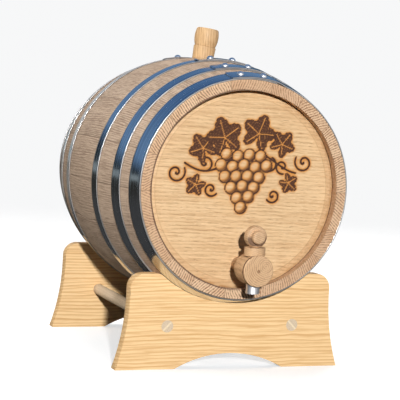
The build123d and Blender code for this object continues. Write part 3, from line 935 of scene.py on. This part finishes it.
# ---------------------------------------------------------------- floor, light and camera
# A plain pale table top under a blue studio sky with a dark horizon, which the bright hoops
# mirror. One small hard lamp near the camera throws the shadows, and three broad soft ones
# from the left, above and behind fill them.
scene = bpy.context.scene
scene.view_settings.view_transform = "Standard"
floor_radius = 2.2
turn = np.linspace(0, math.tau, 96, endpoint=False)
rim = np.stack([floor_radius * np.cos(turn), floor_radius * np.sin(turn), 0 * turn], -1)
floor_mesh = bpy.data.meshes.new("floor")
floor_mesh.from_pydata(rim, [], [list(range(len(turn)))])
floor = bpy.data.objects.new("floor", floor_mesh)
scene.collection.objects.link(floor)
floor_recipe = Recipe("pale_floor")
floor_spot = floor_recipe.spot()
floor_cloud = floor_recipe.noise(floor_recipe.times(floor_spot, (6, 6, 6)), 2.0)
floor_seen = floor_recipe.node("ShaderNodeLightPath", None, None, 0)
floor_pale = floor_recipe.blend(floor_cloud, (0.62, 0.62, 0.62, 1), (0.66, 0.66, 0.66, 1))
floor_colour = floor_recipe.blend(floor_seen, (0.045, 0.047, 0.05, 1), floor_pale)
floor_glow = floor_recipe.blend(floor_seen, (0.0, 0.0, 0.0, 1), (0.52, 0.53, 0.54, 1))
floor_skin = floor_recipe.node("ShaderNodeBsdfPrincipled", None, {
    "Base Color": floor_colour, "Roughness": 0.9, "Specular IOR Level": 0.0,
    "Emission Color": floor_glow, "Emission Strength": 1.0,
})
floor_reach = floor_recipe.length(floor_spot)
floor_clear = floor_recipe.node("ShaderNodeBsdfTransparent")
floor_mix = floor_recipe.node("ShaderNodeMixShader", None, {
    0: floor_reach.ramp(0.35, 1.3), 1: floor_skin, 2: floor_clear,
})
floor_recipe.node("ShaderNodeOutputMaterial", None, {"Surface": floor_mix})
floor.data.materials.append(floor_recipe.material)


def studio_sky():
    """The world's light. Looked at directly it is plain white, and on matt surfaces it is a
    faint even light. In the bright metal it is a clear blue sky over a dark band at the
    horizon, which turns pale towards the back, and dark ground."""
    recipe = Recipe("studio_sky", bpy.data.worlds)
    scene.world = recipe.material
    way = recipe.node("ShaderNodeTexCoord", None, None, 0)
    x, y, z = recipe.parts(way)
    sky = recipe.blend(z.ramp(0.30, 0.75), (0.15, 0.27, 0.46, 1), (0.075, 0.16, 0.33, 1))
    behind = x.ramp(-0.22, -0.08) * x.ramp(0.36, 0.22) * y.ramp(0.3, 0.6)
    lifted = z + x.ramp(-0.45, -0.66) * 0.10
    front = y.ramp(-0.25, -0.5)
    band = recipe.blend(x.ramp(0.15, 0.35), (0.030, 0.038, 0.045, 1), (0.07, 0.10, 0.13, 1))
    band = recipe.blend(behind, band, (0.62, 0.62, 0.60, 1))
    pale = z.ramp(-0.035, -0.015) * z.ramp(0.05, 0.02)
    band = recipe.blend(pale * 0.8, band, (0.34, 0.40, 0.42, 1))
    ground = recipe.blend(behind, (0.035, 0.035, 0.032, 1), (0.26, 0.25, 0.23, 1))
    around = recipe.blend(z.ramp(-0.04, -0.02), ground, band)
    mirrored = recipe.blend(lifted.ramp(0.15, 0.32), around, sky)
    mirrored = recipe.blend(front * z.ramp(0.7, 0.4), mirrored, (0.78, 0.75, 0.72, 1))
    faint = recipe.blend(z.ramp(-0.3, 0.5), (0.018, 0.016, 0.015, 1), (0.08, 0.09, 0.105, 1))
    is_camera = recipe.node("ShaderNodeLightPath", None, None, 0)
    is_glossy = recipe.node("ShaderNodeLightPath", None, None, 3)
    lit = recipe.blend(is_glossy, faint, mirrored)
    lit = recipe.blend(is_camera, lit, (0.93, 0.935, 0.94, 1))
    glow = recipe.node("ShaderNodeBackground", None, {"Color": lit, "Strength": 1.0})
    recipe.node("ShaderNodeOutputWorld", None, {"Surface": glow})


studio_sky()


def lamp(name, azimuth, elevation, distance, size, power, tint, mirrored):
    """A round lamp aimed at the middle of the barrel, from an azimuth that is 0 in front and
    grows to the right, and an elevation."""
    a, e = math.radians(azimuth), math.radians(elevation)
    way = Vector((math.sin(a) * math.cos(e), -math.cos(a) * math.cos(e), math.sin(e)))
    data = bpy.data.lights.new(name, "AREA")
    data.shape = "DISK"
    data.size = size
    data.energy = power
    data.color = tint
    light = bpy.data.objects.new(name, data)
    light.location = Vector((0, mid_y, axis_z)) + way * distance
    light.rotation_mode = "QUATERNION"
    light.rotation_quaternion = (-way).to_track_quat("-Z", "Y")
    light.visible_glossy = mirrored
    scene.collection.objects.link(light)


lamp("key_lamp", -13.5, 13, 3.0, 0.12, 102, (0.98, 0.985, 1.0), True)
lamp("side_fill", -100, 28, 2.5, 1.2, 35, (1.0, 0.965, 0.90), False)
lamp("top_fill", 175, 72, 2.5, 1.2, 34, (1.0, 0.97, 0.93), False)
lamp("back_fill", 135, 20, 2.5, 1.2, 30, (1.0, 0.98, 0.95), False)

# The camera stands a little left of the front and just above the barrel's middle, far back,
# and leans slightly.
camera_turn = math.radians(-20.608)
camera_rise = math.radians(4.889)
camera_lean = math.radians(2.946)
aim = Vector((-0.0390, mid_y - half_length, axis_z - 0.0085))
camera_distance = 1.1764
back = Vector((
    math.sin(camera_turn) * math.cos(camera_rise),
    -math.cos(camera_turn) * math.cos(camera_rise),
    math.sin(camera_rise),
))
right = (-back).cross(Vector((0, 0, 1))).normalized()
up = right.cross(-back)
lean_right = right * math.cos(camera_lean) + up * math.sin(camera_lean)
lean_up = up * math.cos(camera_lean) - right * math.sin(camera_lean)
camera_data = bpy.data.cameras.new("camera")
camera_data.sensor_width = 36
camera_data.lens = 134.09
camera = bpy.data.objects.new("camera", camera_data)
scene.collection.objects.link(camera)
turned = Matrix((lean_right, lean_up, back)).transposed().to_4x4()
turned.translation = aim + back * camera_distance
camera.matrix_world = turned
scene.camera = camera

bpy.context.view_layer.update()
